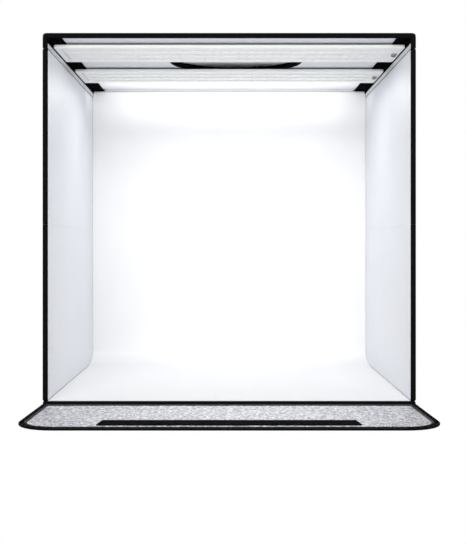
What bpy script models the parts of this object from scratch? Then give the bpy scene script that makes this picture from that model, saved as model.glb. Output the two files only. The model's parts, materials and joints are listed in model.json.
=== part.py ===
"""Fold-flat light tent cube for product photographs.

Rigid fabric-covered panels make a box that is open at the front. Both side walls are
creased at half height and fold inwards, so that the top panel comes straight down on the
floor panel. Inside are two light boards held by loop tape, a backdrop sheet that sweeps
from the floor up to the ceiling, and a round window in the top with its own cover. A
closing flap with hook tape lies on the ground in front.

Metres, +Z up. The origin is the centre of the floor panel's underside, the open front
looks towards -Y, and +X is on the right for someone who looks in.
"""

import math

import bmesh
import bpy
from mathutils import Matrix, Vector

# The whole tent, outside its panels
TENT_WIDTH = 0.800
TENT_DEPTH = 0.800
TENT_HEIGHT = 0.800

# Build-up of a panel: outer cover, stiff board, inner lining
PANEL = 0.0100
COVER_SKIN = 0.0016
LINING = 0.0014
BINDING = 0.0080
HEM = 0.0045
BOUND_EDGE = 0.0030
PANEL_CORNER = 0.0060
POCKET_CORNER = 0.0040
POCKET_LIP = 0.0008
BOARD_EDGE = 0.0010
LEAST_ROUND = 0.0004

# Clearances
PLY_GAP = 0.0003
HINGE_GAP = 0.0005
CREASE_GAP = 0.0006
CUT_OVERRUN = 0.0200

# Folding side walls
TOP_LIP = 0.0220
CREASE_STANDOFF = 0.0005

# Closing flap on the ground in front
FLAP_LENGTH = 0.290
FLAP_FLARE = 0.0080
FLAP_THICKNESS = 0.0060
FLAP_CORNER = 0.0750
FLAP_BINDING = 0.0180
FLAP_END_BINDING = 0.0110
FLAP_HINGE_BAND = 0.0300
FLAP_EDGE = 0.0024
FLAP_LINING = 0.0018
FLAP_HOOK_LENGTH = 0.490
FLAP_HOOK_WIDTH = 0.0530
FLAP_HOOK_FROM_END = 0.0205
FLAP_HOOK_SLANT = 0.0060

# Tapes: hook tape and loop tape
TAPE = 0.0018
TAPE_CORNER = 0.0030
TAPE_EDGE = 0.0005

# Loop rails in the two upper corners, with a leg on the ceiling and one on the wall
RAIL_CEILING_LEG = 0.0310
RAIL_TAPE = 0.0014

# Round window in the top and its cover
WINDOW_RADIUS = 0.1560
WINDOW_OFFSET_X = 0.0160
WINDOW_FROM_FRONT = 0.2850
RIM_TAPE = 0.0014
RIM_LEG = 0.0120
RIM_EDGE = 0.0005
WINDOW_COVER_OVERLAP = 0.0300
WINDOW_COVER_THICKNESS = 0.0042
WINDOW_COVER_HINGE_MARGIN = 0.0150
WINDOW_COVER_LINING = 0.0012
WINDOW_COVER_BINDING = 0.0100
WINDOW_COVER_EDGE = 0.0014
PULL_TAB_LENGTH = 0.0450
PULL_TAB_WIDTH = 0.0250
PULL_TAB_SEAM = 0.0150
PULL_TAB_CORNER = 0.0060
PULL_TAB_TAPE = 0.0014
HINGE_TAPE_WIDTH = 0.0180
HINGE_TAPE = 0.0014

# Light boards under the ceiling
LIGHT_BOARD_DEPTH = 0.1790
LIGHT_BOARD = 0.0072
LIGHT_BOARD_EDGE = 0.0020
LIGHT_BOARD_CORNER = 0.0050
LIGHT_BOARD_SIDE_GAP = 0.0012
BOARD_PLACE_SHARES = (0.154, 0.513)
HOOK_PAD = 0.0014
HOOK_PAD_END_GAP = 0.0080

# Light strips: a circuit strip with square packages
STRIP_COUNT = 3
STRIP_SPACING = 0.0500
STRIP_WIDTH = 0.0120
STRIP_END_GAP = 0.0080
STRIP_THICKNESS = 0.0010
LIGHT_PITCH = 0.0194
LIGHT_SIDE = 0.0050
LIGHT_HEIGHT = 0.0011
LIGHT_TAPER = 0.0006
LIGHT_ROOT = 0.0004

# Solder strip that links the light strips, and the lead socket at the other end
BUS_WIDTH = 0.0080
BUS_FROM_END = 0.0180
BUS_FROM_FRONT = 0.0080
BUS_LENGTH = 0.1250
BUS_PAD_COUNT = 9
BUS_PAD_LENGTH = 0.0090
BUS_PAD_WIDTH = 0.0036
BUS_PAD_HEIGHT = 0.0008
SOCKET_LENGTH = 0.0230
SOCKET_WIDTH = 0.0110
SOCKET_HEIGHT = 0.0042
SOCKET_WALL = 0.0024
SOCKET_DEPTH = 0.0030
SOCKET_FROM_END = 0.0130
SOCKET_FORWARD = 0.0090
SOCKET_EDGE = 0.0010

# Backdrop sheet: on the floor, through a sweep, up to the ceiling
SHEET = 0.0010
SHEET_SIDE_GAP = 0.0030
SHEET_FRONT_GAP = 0.0090
SHEET_BEHIND_GAP = 0.0560
SWEEP_DEPTH = 0.1000
SWEEP_HEIGHT = 0.0350
SHEET_TOP_BEND = 0.0060
SHEET_TAPE_WIDTH = 0.0250
SHEET_TOP_HEM = 0.0030

# Tabs that hold the back panel to the walls and the top
TAB_WIDTH = 0.0500
TAB_REACH = 0.0600
TAB_SEAM = 0.0400
TAB_TAPE = 0.0015
TAB_BEND = 0.0020
TAB_HEIGHT_SHARES = (0.17, 0.80)

# Loop strip on the outside of the back panel, met by the flap's hook tape when packed
CLOSURE_LENGTH = 0.520
CLOSURE_WIDTH = 0.0600
CLOSURE_FROM_TOP = 0.1000

# Smoothness of round shapes
CORNER_STEPS = 4
EDGE_STEPS = 2
PLY_STEPS = 2
CHAMFER_STEPS = 1
FLAP_CORNER_STEPS = 8
WINDOW_STEPS = 44
SWEEP_STEPS = 12
BEND_STEPS = 4
SOCKET_STEPS = 5
COVER_ARC_STEPS = 28

# Sizes worked out from those above
HALF_WIDTH = TENT_WIDTH / 2
FRONT = -TENT_DEPTH / 2
REAR = TENT_DEPTH / 2
INSIDE_X = HALF_WIDTH - PANEL
CEILING = TENT_HEIGHT - PANEL
BACK_INSIDE = REAR - PANEL
PANEL_REAR = BACK_INSIDE - HINGE_GAP
LIP_BOTTOM = CEILING - TOP_LIP
RAIL_FACE = CEILING - PLY_GAP - RAIL_TAPE
LIGHT_BOARD_TOP = RAIL_FACE - PLY_GAP - HOOK_PAD - PLY_GAP
LIGHT_BOARD_BOTTOM = LIGHT_BOARD_TOP - LIGHT_BOARD
RAIL_BOTTOM = LIGHT_BOARD_BOTTOM
WALL_BOTTOM = PANEL + HINGE_GAP
WALL_TOP = LIP_BOTTOM - HINGE_GAP
LOWER_AXIS = WALL_BOTTOM + PLY_GAP
UPPER_AXIS = WALL_TOP + PLY_GAP
CREASE = (LOWER_AXIS + UPPER_AXIS) / 2
HALF_WALL = CREASE - LOWER_AXIS
CREASE_OFFSET = PANEL + 2 * CREASE_STANDOFF
TOP_RISE = 2 * (math.hypot(HALF_WALL, CREASE_OFFSET) - HALF_WALL)
TAB_GAP = PLY_GAP + TOP_RISE
WINDOW_Y = FRONT + WINDOW_FROM_FRONT
RAIL_INSIDE_X = INSIDE_X - PLY_GAP - RAIL_TAPE
RAIL_CEILING_X = INSIDE_X - PLY_GAP - RAIL_CEILING_LEG
LIGHT_BOARD_HALF = RAIL_INSIDE_X - LIGHT_BOARD_SIDE_GAP
RIM_TOP = TENT_HEIGHT + PLY_GAP + RIM_TAPE
COVER_BOTTOM = RIM_TOP + PLY_GAP
COVER_TOP = COVER_BOTTOM + WINDOW_COVER_THICKNESS
COVER_RADIUS = WINDOW_RADIUS + WINDOW_COVER_OVERLAP
COVER_HINGE_X = WINDOW_OFFSET_X - WINDOW_RADIUS - WINDOW_COVER_HINGE_MARGIN
FLAP_HINGE_Y = FRONT - HINGE_GAP
FLAP_TOP = FLAP_THICKNESS + PLY_GAP + TAPE
BACK_AXIS_Y = REAR + PLY_GAP + TAPE
SHEET_Y = BACK_INSIDE - SHEET_BEHIND_GAP
FREE_RAIL = SHEET_Y - FRONT - 2 * LIGHT_BOARD_DEPTH
FRONT_BOARD_Y = FRONT + FREE_RAIL * BOARD_PLACE_SHARES[0]
REAR_BOARD_Y = FRONT + FREE_RAIL * BOARD_PLACE_SHARES[1] + LIGHT_BOARD_DEPTH
STRIP_LEFT = -LIGHT_BOARD_HALF + BUS_FROM_END + BUS_WIDTH / 2 + STRIP_END_GAP
STRIP_RIGHT = LIGHT_BOARD_HALF - SOCKET_FROM_END - SOCKET_WIDTH / 2 - STRIP_END_GAP
SHEET_BOTTOM = PANEL + PLY_GAP
SHEET_TOP = CEILING - PLY_GAP - TAPE - PLY_GAP - TAPE - PLY_GAP


def clear_scene():
    """Removes every object, so that only the tent is left."""
    for item in list(bpy.data.objects):
        bpy.data.objects.remove(item, do_unlink=True)


def principled(name, colour, roughness, metallic=0.0):
    """A Principled material, made once and shared by name."""
    found = bpy.data.materials.get(name)
    if found:
        return found
    made = bpy.data.materials.new(name)
    made.use_nodes = True
    shader = made.node_tree.nodes["Principled BSDF"]
    shader.inputs["Base Color"].default_value = (*colour, 1.0)
    shader.inputs["Roughness"].default_value = roughness
    shader.inputs["Metallic"].default_value = metallic
    made.diffuse_color = (*colour, 1.0)
    return made


def black_cloth():
    """Coated black cloth of the covers and their bound edges."""
    return principled("black_cloth", (0.012, 0.012, 0.014), 0.72)


def stiff_board():
    """Light grey hollow plastic board inside a panel."""
    return principled("stiff_board", (0.55, 0.56, 0.57), 0.6)


def silver_lining():
    """Smooth silver-white reflective lining."""
    return principled("silver_lining", (0.72, 0.74, 0.78), 0.34, 0.35)


def pebbled_lining():
    """Silver lining with a pebbled face, on the flap and the window cover."""
    return principled("pebbled_lining", (0.60, 0.60, 0.63), 0.38, 0.55)


def loop_tape():
    """Black loop tape."""
    return principled("loop_tape", (0.010, 0.010, 0.011), 0.95)


def hook_tape():
    """Black hook tape."""
    return principled("hook_tape", (0.014, 0.014, 0.015), 0.85)


def grey_tape():
    """Pale grey tape across the ceiling, where the sheet hangs."""
    return principled("grey_tape", (0.50, 0.51, 0.53), 0.9)


def white_sheet():
    """Matt white backdrop sheet."""
    return principled("white_sheet", (0.90, 0.90, 0.90), 0.85)


def white_board():
    """White plate of a light board."""
    return principled("white_board", (0.82, 0.83, 0.80), 0.5)


def circuit_strip():
    """White circuit strip with pale yellow light packages."""
    return principled("circuit_strip", (0.84, 0.85, 0.70), 0.4)


def solder_strip():
    """White circuit strip with dull solder pads."""
    return principled("solder_strip", (0.62, 0.62, 0.60), 0.35, 0.4)


def black_plastic():
    """Black moulded plastic of the lead sockets."""
    return principled("black_plastic", (0.02, 0.02, 0.022), 0.5)


def edge_normal(start, end):
    """Unit vector to the left of an edge, which is inwards on an anticlockwise outline."""
    along = (end - start).normalized()
    return Vector((-along.y, along.x))


def with_neighbours(corners):
    """Each corner of a closed outline with the one before it and the one after it."""
    return zip(corners[-1:] + corners[:-1], corners, corners[1:] + corners[:1])


def inset_corners(corners, inset):
    """The corners of the outline whose every edge lies `inset` further in."""
    moved = []
    for before, here, after in with_neighbours(corners):
        first = edge_normal(before, here)
        second = edge_normal(here, after)
        moved.append(here + (first + second) * inset / (1 + first.dot(second)))
    return moved


def set_in(corners, margins):
    """The corners of the outline whose edges lie further in, each by its own margin.

    The first margin is that of the edge which ends at the first corner.
    """
    moved = []
    pairs = zip(margins, margins[1:] + margins[:1])
    for (before, here, after), (margin, following) in zip(with_neighbours(corners), pairs):
        first = edge_normal(before, here)
        second = edge_normal(here, after)
        meet = first.dot(second)
        across = first * (margin - meet * following) + second * (following - meet * margin)
        moved.append(here + across / (1 - meet**2))
    return moved


def filleted(corners, radii, steps):
    """An outline with each corner turned into an arc of its own radius.

    A corner of radius zero stays one point. Convex and hollow corners both work.
    """
    points = []
    for (before, here, after), radius in zip(with_neighbours(corners), radii):
        if radius == 0:
            points.append(here.copy())
            continue
        back = (before - here).normalized()
        ahead = (after - here).normalized()
        half = back.angle(ahead) / 2
        centre = here + (back + ahead).normalized() * radius / math.sin(half)
        start = here + back * radius / math.tan(half) - centre
        hollow = back.x * ahead.y - back.y * ahead.x > 0
        sweep = (math.pi - 2 * half) * (-1 if hollow else 1)
        for step in range(steps + 1):
            points.append(centre + Matrix.Rotation(sweep * step / steps, 2) @ start)
    return points


def rectangle(low, high):
    """Corners of a rectangle, anticlockwise."""
    return [
        Vector((low[0], low[1])),
        Vector((high[0], low[1])),
        Vector((high[0], high[1])),
        Vector((low[0], high[1])),
    ]


def outline_ring(corners, radii, inset, steps):
    """A filleted outline lying `inset` further in, its fillets shrunk to match."""
    shrunk = [radius and max(radius - inset, LEAST_ROUND) for radius in radii]
    return filleted(inset_corners(corners, inset), shrunk, steps)


def rounded_edge(radius, low, high, steps=EDGE_STEPS):
    """(inset, height) pairs of a side wall with both its edges rounded."""
    pairs = []
    for step in range(steps + 1):
        angle = math.pi / 2 * step / steps
        pairs.append((radius * (1 - math.sin(angle)), low + radius * (1 - math.cos(angle))))
    return pairs + [(inset, low + high - height) for inset, height in reversed(pairs)]


def loft(rings, closed=False):
    """A closed body through rings of equal counts: capped at both ends, or joined up."""
    mesh = bmesh.new()
    loops = [[mesh.verts.new(point) for point in ring] for ring in rings]
    pairs = list(zip(loops, loops[1:]))
    if closed:
        pairs.append((loops[-1], loops[0]))
    else:
        mesh.faces.new(loops[0])
        mesh.faces.new(loops[-1])
    for lower, upper in pairs:
        for a, b, c, d in zip(lower, lower[1:] + lower[:1], upper[1:] + upper[:1], upper):
            mesh.faces.new((a, b, c, d))
    return mesh


def plate(corners, radii, low, high, edge, steps=PLY_STEPS, edge_steps=CHAMFER_STEPS):
    """A flat plate with a filleted outline and softened edges, thick along its third axis."""
    return loft([
        [(*point, height) for point in outline_ring(corners, radii, inset, steps)]
        for inset, height in rounded_edge(edge, low, high, edge_steps)
    ])


def tray(outer, pocket, thickness, floor, edge, steps=CORNER_STEPS):
    """A cover: a plate whose inner side, at height zero, is sunk within a bound rim.

    outer and pocket are each a pair: an outline's corners, and their radii.
    """
    hollow = [(0, thickness - floor), (0, POCKET_LIP), (-POCKET_LIP, 0)]
    rings = []
    for outline, profile in ((pocket, hollow), (outer, rounded_edge(edge, 0, thickness))):
        for inset, height in profile:
            flat = outline_ring(*outline, inset, steps)
            rings.append([(*point, height) for point in flat])
    return loft(rings)


def keep_below(mesh, level):
    """Cuts a body at a level along its second axis and keeps the part below it."""
    cut_at(mesh, level, 1)


def keep_above(mesh, level):
    """Cuts a body at a level along its second axis and keeps the part above it."""
    cut_at(mesh, level, -1)


def cut_at(mesh, level, side):
    """Cuts a body by a plane across its second axis and closes the cut."""
    everything = mesh.verts[:] + mesh.edges[:] + mesh.faces[:]
    cut = bmesh.ops.bisect_plane(
        mesh,
        geom=everything,
        plane_co=(0, level, 0),
        plane_no=(0, side, 0),
        clear_outer=True,
    )
    edges = [item for item in cut["geom_cut"] if isinstance(item, bmesh.types.BMEdge)]
    bmesh.ops.edgeloop_fill(mesh, edges=edges)


def placed(origin, first, second, third):
    """The matrix that takes a flat piece's own three axes to the given world directions."""
    matrix = Matrix((first, second, third)).transposed().to_4x4()
    matrix.translation = origin
    return matrix


class Body:
    """An empty on a joint's axis that carries the pieces which move together."""

    def __init__(self, name, pivot, parent=None):
        self.pivot = Vector(pivot)
        self.empty = bpy.data.objects.new(f"{name}_axis", None)
        self.empty.empty_display_size = PANEL
        self.empty.location = self.pivot
        if parent:
            self.empty.parent = parent.empty
            self.empty.location = self.pivot - parent.pivot
        bpy.context.scene.collection.objects.link(self.empty)


def piece(name, mesh, body, material, where=None, cutters=()):
    """Turns a bmesh into a named, smooth-shaded object that rides on a body."""
    if where:
        mesh.transform(where)
    mesh.transform(Matrix.Translation(-body.pivot))
    bmesh.ops.recalc_face_normals(mesh, faces=mesh.faces[:])
    if mesh.calc_volume(signed=True) < 0:
        bmesh.ops.reverse_faces(mesh, faces=mesh.faces[:])
    data = bpy.data.meshes.new(name)
    mesh.to_mesh(data)
    mesh.free()
    data.shade_smooth()
    data.set_sharp_from_angle(angle=math.radians(35))
    data.materials.append(material)
    made = bpy.data.objects.new(name, data)
    made.parent = body.empty
    bpy.context.scene.collection.objects.link(made)
    for cutter in cutters:
        cut = made.modifiers.new(cutter.name, "BOOLEAN")
        cut.operation = "DIFFERENCE"
        cut.solver = "EXACT"
        cut.object = cutter
    return made


def helper(name, mesh, body):
    """A shape that only cuts or joins others."""
    made = piece(name, mesh, body, black_plastic())
    made.hide_render = True
    made.display_type = "WIRE"
    return made


def panel_plies(label, body, where, low, high, margins, crease=None):
    """Cover, board and lining of one panel, or of one half of a creased panel.

    margins are the widths of the cover's rim round the lining, at the panel's low and high
    ends in turn: first low, second low, first high, second high. crease is None, or the
    cutting function and level for one half.
    """
    corners = rectangle(low, high)
    pocket = set_in(corners, margins)
    inside = inset_corners(pocket, PLY_GAP)
    radii = [POCKET_CORNER] * 4
    outer = (corners, [PANEL_CORNER] * 4)
    cover = tray(outer, (pocket, radii), PANEL, COVER_SKIN, BOUND_EDGE)
    board = plate(inside, radii, LINING + PLY_GAP, PANEL - COVER_SKIN - PLY_GAP, BOARD_EDGE)
    lining = plate(inside, radii, 0, LINING, TAPE_EDGE)
    if crease:
        cut, level = crease
        for mesh in (cover, board, lining):
            cut(mesh, level)
    piece(f"{label}_cover", cover, body, black_cloth(), where)
    piece(f"{label}_board", board, body, stiff_board(), where)
    piece(f"{label}_lining", lining, body, silver_lining(), where)


def floor_panel(base):
    """Floor: its lining looks up, its cover stands on the ground."""
    where = placed((0, 0, PANEL), (1, 0, 0), (0, 1, 0), (0, 0, -1))
    margins = [HEM, BINDING, HEM, HEM]
    panel_plies("floor", base, where, (-HALF_WIDTH, FRONT), (HALF_WIDTH, PANEL_REAR), margins)


def side_wall(label, side, lower, upper):
    """A side wall in two halves. side is -1 on the left and 1 on the right."""
    where = placed((side * INSIDE_X, 0, 0), (0, 1, 0), (0, 0, 1), (side, 0, 0))
    low = (FRONT, WALL_BOTTOM)
    high = (PANEL_REAR, WALL_TOP)
    margins = [BINDING, HEM, HEM, HEM]
    below = (keep_below, CREASE - CREASE_GAP / 2)
    above = (keep_above, CREASE + CREASE_GAP / 2)
    panel_plies(f"{label}_lower", lower, where, low, high, margins, below)
    panel_plies(f"{label}_upper", upper, where, low, high, margins, above)


def back_panel(back):
    """Back: it stands behind the floor, the walls and the top."""
    where = placed((0, BACK_INSIDE, 0), (1, 0, 0), (0, 0, 1), (0, 1, 0))
    panel_plies("back", back, where, (-HALF_WIDTH, 0), (HALF_WIDTH, TENT_HEIGHT), [HEM] * 4)


def channel_ring(y, inset):
    """Section of the top cover: a flat top with a lip turned down along each side."""
    corners = [
        Vector((-HALF_WIDTH, LIP_BOTTOM)),
        Vector((-INSIDE_X, LIP_BOTTOM)),
        Vector((-INSIDE_X, CEILING)),
        Vector((INSIDE_X, CEILING)),
        Vector((INSIDE_X, LIP_BOTTOM)),
        Vector((HALF_WIDTH, LIP_BOTTOM)),
        Vector((HALF_WIDTH, TENT_HEIGHT)),
        Vector((-HALF_WIDTH, TENT_HEIGHT)),
    ]
    lip = BOUND_EDGE
    radii = [lip, lip, 0, 0, lip, lip, PANEL_CORNER, PANEL_CORNER]
    shape = outline_ring(corners, radii, inset, CORNER_STEPS)
    return [(point.x, y, point.y) for point in shape]


def top_panel(canopy):
    """Top: a channel-shaped cover, its board and its lining, all with the window's hole."""
    rings = [channel_ring(y, inset) for inset, y in rounded_edge(BOUND_EDGE, FRONT, PANEL_REAR)]
    corners = rectangle((-INSIDE_X, FRONT + BINDING), (INSIDE_X, PANEL_REAR - HEM))
    radii = [POCKET_CORNER] * 4
    inside = inset_corners(corners, PLY_GAP)
    pocket = plate(corners, radii, -CUT_OVERRUN, PANEL - COVER_SKIN, LEAST_ROUND)
    ceiling = placed((0, 0, CEILING), (1, 0, 0), (0, 1, 0), (0, 0, 1))
    pocket.transform(ceiling)
    pocket_cutter = helper("top_pocket_cutter", pocket, canopy)
    hole = bmesh.new()
    bmesh.ops.create_cone(
        hole,
        cap_ends=True,
        segments=WINDOW_STEPS,
        radius1=WINDOW_RADIUS + RIM_TAPE + PLY_GAP,
        radius2=WINDOW_RADIUS + RIM_TAPE + PLY_GAP,
        depth=PANEL + CUT_OVERRUN,
        matrix=Matrix.Translation((WINDOW_OFFSET_X, WINDOW_Y, TENT_HEIGHT - PANEL / 2)),
    )
    hole_cutter = helper("window_cutter", hole, canopy)
    cutters = [pocket_cutter, hole_cutter]
    piece("top_cover", loft(rings), canopy, black_cloth(), cutters=cutters)
    board = plate(inside, radii, LINING + PLY_GAP, PANEL - COVER_SKIN - PLY_GAP, BOARD_EDGE)
    lining = plate(inside, radii, 0, LINING, TAPE_EDGE)
    piece("top_board", board, canopy, stiff_board(), ceiling, [hole_cutter])
    piece("top_lining", lining, canopy, silver_lining(), ceiling, [hole_cutter])


def window_rim(canopy):
    """Binding tape turned round the window's edge: a C-shaped section that clasps it."""
    inner = WINDOW_RADIUS
    web = WINDOW_RADIUS + RIM_TAPE
    outer = WINDOW_RADIUS + RIM_LEG
    under = CEILING - PLY_GAP
    over = TENT_HEIGHT + PLY_GAP
    section = [
        Vector((inner, under - RIM_TAPE)),
        Vector((outer, under - RIM_TAPE)),
        Vector((outer, under)),
        Vector((web, under)),
        Vector((web, over)),
        Vector((outer, over)),
        Vector((outer, over + RIM_TAPE)),
        Vector((inner, over + RIM_TAPE)),
    ]
    radii = [RIM_EDGE, RIM_EDGE, 0, 0, 0, 0, RIM_EDGE, RIM_EDGE]
    profile = filleted(section, radii, 1)
    rings = []
    for step in range(WINDOW_STEPS):
        turn = 2 * math.pi * step / WINDOW_STEPS
        rings.append([(r * math.cos(turn), r * math.sin(turn), z) for r, z in profile])
    mesh = loft(rings, closed=True)
    centre = Matrix.Translation((WINDOW_OFFSET_X, WINDOW_Y, 0))
    piece("window_rim", mesh, canopy, black_cloth(), centre)


def cover_outline(radius):
    """A disc with a straight hinge edge on its left, as anticlockwise points.

    The hinge edge runs down from the upper end of the arc to the lower one.
    """
    chord = COVER_HINGE_X - WINDOW_OFFSET_X
    opening = math.acos(-chord / radius)
    points = []
    for step in range(COVER_ARC_STEPS + 1):
        turn = -math.pi + opening + 2 * (math.pi - opening) * step / COVER_ARC_STEPS
        points.append(Vector((radius * math.cos(turn), radius * math.sin(turn))))
    return points


def window_cover(cover):
    """Window cover: a D-shaped shell with a pebbled lining below and a pull tab."""
    where = placed((WINDOW_OFFSET_X, WINDOW_Y, COVER_BOTTOM), (1, 0, 0), (0, 1, 0), (0, 0, 1))
    outline = cover_outline(COVER_RADIUS)
    sharp = [0] * len(outline)
    pocket = inset_corners(outline, WINDOW_COVER_BINDING)
    floor = WINDOW_COVER_THICKNESS - WINDOW_COVER_LINING - PLY_GAP
    edge = WINDOW_COVER_EDGE
    shell = tray((outline, sharp), (pocket, sharp), WINDOW_COVER_THICKNESS, floor, edge)
    piece("window_cover_shell", shell, cover, black_cloth(), where)
    inner = inset_corners(pocket, PLY_GAP)
    lining = plate(inner, sharp, 0, WINDOW_COVER_LINING, TAPE_EDGE)
    piece("window_cover_lining", lining, cover, pebbled_lining(), where)
    reach = COVER_RADIUS + PULL_TAB_LENGTH
    half = PULL_TAB_WIDTH / 2
    tab = plate(
        rectangle((COVER_RADIUS - PULL_TAB_SEAM, -half), (reach, half)),
        [LEAST_ROUND, PULL_TAB_CORNER, PULL_TAB_CORNER, LEAST_ROUND],
        WINDOW_COVER_THICKNESS + PLY_GAP,
        WINDOW_COVER_THICKNESS + PLY_GAP + PULL_TAB_TAPE,
        TAPE_EDGE,
    )
    piece("window_pull_tab", tab, cover, black_cloth(), where)


def window_hinge_tape(canopy):
    """Strip of cloth sewn to the top beside the window cover's straight edge, its hinge."""
    chord = WINDOW_OFFSET_X - COVER_HINGE_X
    half = math.sqrt(COVER_RADIUS**2 - chord**2)
    edge = COVER_HINGE_X - HINGE_GAP
    low = (edge - HINGE_TAPE_WIDTH, WINDOW_Y - half)
    high = (edge, WINDOW_Y + half)
    strip = strip_of_tape(low, high, TENT_HEIGHT + PLY_GAP, HINGE_TAPE)
    piece("window_hinge_tape", strip, canopy, black_cloth())


def loop_rails(canopy):
    """Loop tape folded into both upper corners: one leg on the ceiling, one on the lip."""
    for label, side in (("left", -1), ("right", 1)):
        outside = INSIDE_X - PLY_GAP
        above = CEILING - PLY_GAP
        section = [
            Vector((outside, above)),
            Vector((RAIL_CEILING_X, above)),
            Vector((RAIL_CEILING_X, RAIL_FACE)),
            Vector((RAIL_INSIDE_X, RAIL_FACE)),
            Vector((RAIL_INSIDE_X, RAIL_BOTTOM)),
            Vector((outside, RAIL_BOTTOM)),
        ]
        radii = [TAPE_EDGE] * 6
        profile = filleted(section, radii, 1)
        ends = (FRONT + BOUND_EDGE, PANEL_REAR - BOUND_EDGE)
        rings = [[(side * x, y, z) for x, z in profile] for y in ends]
        piece(f"{label}_loop_rail", loft(rings), canopy, loop_tape())


def strip_of_tape(low, high, bottom, thickness):
    """A straight length of tape with softly rounded corners."""
    top = bottom + thickness
    return plate(rectangle(low, high), [TAPE_CORNER] * 4, bottom, top, TAPE_EDGE)


def backdrop_tapes(canopy):
    """Loop tape across the ceiling and the hook tape below it that carries the sheet."""
    half = RAIL_CEILING_X - SHEET_SIDE_GAP
    low = (-half, SHEET_Y)
    high = (half, SHEET_Y + SHEET_TAPE_WIDTH)
    ceiling = CEILING - PLY_GAP - TAPE
    below = ceiling - PLY_GAP - TAPE
    piece("backdrop_loop_tape", strip_of_tape(low, high, ceiling, TAPE), canopy, grey_tape())
    piece("backdrop_hook_tape", strip_of_tape(low, high, below, TAPE), canopy, grey_tape())


def sheet_route():
    """Middle line of the sheet from the front of the floor to its turn under the ceiling.

    The sweep is a quarter ellipse, and the turn at the top is a quarter circle.
    """
    level = SHEET_BOTTOM + SHEET / 2
    top = SHEET_TOP - SHEET / 2
    route = [Vector((FRONT + SHEET_FRONT_GAP, level))]
    for step in range(SWEEP_STEPS + 1):
        angle = math.pi / 2 * step / SWEEP_STEPS
        y = SHEET_Y - SWEEP_DEPTH * (1 - math.sin(angle))
        route.append(Vector((y, level + SWEEP_HEIGHT * (1 - math.cos(angle)))))
    for step in range(BEND_STEPS + 1):
        angle = math.pi / 2 * step / BEND_STEPS
        y = SHEET_Y + SHEET_TOP_BEND * (1 - math.cos(angle))
        route.append(Vector((y, top - SHEET_TOP_BEND * (1 - math.sin(angle)))))
    route.append(Vector((SHEET_Y + SHEET_TAPE_WIDTH + SHEET_TOP_HEM, top)))
    return route


def beside(route, distance):
    """The line that runs beside an open route at a distance to its left."""
    line = []
    for index, here in enumerate(route):
        before = route[max(index - 1, 0)]
        after = route[min(index + 1, len(route) - 1)]
        first = edge_normal(before, here) if index else edge_normal(here, after)
        second = edge_normal(here, after) if after != here else first
        line.append(here + (first + second) * distance / (1 + first.dot(second)))
    return line


def backdrop_sheet(base):
    """White sheet: flat on the floor, swept up at the back and turned in at the top."""
    route = sheet_route()
    section = beside(route, -SHEET / 2) + beside(route, SHEET / 2)[::-1]
    half = INSIDE_X - SHEET_SIDE_GAP
    rings = [[(x, y, z) for y, z in section] for x in (-half, half)]
    piece("backdrop_sheet", loft(rings), base, white_sheet())


def row_of_studs(count, pitch, side, across, height, taper, root, level):
    """Small tapered blocks hanging in a row below a level, for joining to a strip."""
    mesh = bmesh.new()
    for index in range(count):
        x = (index - (count - 1) / 2) * pitch
        corners = rectangle((x - side / 2, -across / 2), (x + side / 2, across / 2))
        tip = [mesh.verts.new((*p, level - height)) for p in inset_corners(corners, taper)]
        base = [mesh.verts.new((*p, level + root)) for p in corners]
        mesh.faces.new(tip)
        mesh.faces.new(base)
        for a, b, c, d in zip(tip, tip[1:] + tip[:1], base[1:] + base[:1], base):
            mesh.faces.new((a, b, c, d))
    return mesh


def joined(made, studs):
    """Joins a helper's blocks to a piece."""
    union = made.modifiers.new(studs.name, "BOOLEAN")
    union.operation = "UNION"
    union.solver = "EXACT"
    union.object = studs


def light_strip(name, board, y):
    """One circuit strip with its row of light packages, under a light board."""
    top = LIGHT_BOARD_BOTTOM - PLY_GAP
    bottom = top - STRIP_THICKNESS
    length = STRIP_RIGHT - STRIP_LEFT
    low = (-length / 2, -STRIP_WIDTH / 2)
    high = (length / 2, STRIP_WIDTH / 2)
    at = Matrix.Translation(((STRIP_LEFT + STRIP_RIGHT) / 2, y, 0))
    strip = loft([[(*p, z) for p in rectangle(low, high)] for z in (bottom, top)])
    made = piece(name, strip, board, circuit_strip(), at)
    count = int((length - LIGHT_SIDE) / LIGHT_PITCH) + 1
    lights = row_of_studs(
        count, LIGHT_PITCH, LIGHT_SIDE, LIGHT_SIDE, LIGHT_HEIGHT, LIGHT_TAPER, LIGHT_ROOT, bottom
    )
    lights.transform(at)
    joined(made, helper(f"{name}_lights", lights, board))


def solder_bus(name, board, front):
    """Narrow strip at the left end that links the light strips, with a row of solder pads."""
    top = LIGHT_BOARD_BOTTOM - PLY_GAP
    bottom = top - STRIP_THICKNESS
    x = -LIGHT_BOARD_HALF + BUS_FROM_END
    y = front + BUS_FROM_FRONT + BUS_LENGTH / 2
    reach = BUS_LENGTH / 2
    half = BUS_WIDTH / 2
    at = Matrix.Translation((x, y, 0)) @ Matrix.Rotation(math.pi / 2, 4, "Z")
    strip = loft([
        [(*p, z) for p in rectangle((-reach, -half), (reach, half))] for z in (bottom, top)
    ])
    made = piece(name, strip, board, solder_strip(), at)
    pitch = 2 * reach / BUS_PAD_COUNT
    pads = row_of_studs(
        BUS_PAD_COUNT,
        pitch,
        BUS_PAD_LENGTH,
        BUS_PAD_WIDTH,
        BUS_PAD_HEIGHT,
        LIGHT_TAPER,
        LIGHT_ROOT,
        bottom,
    )
    pads.transform(at)
    joined(made, helper(f"{name}_pads", pads, board))


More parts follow.
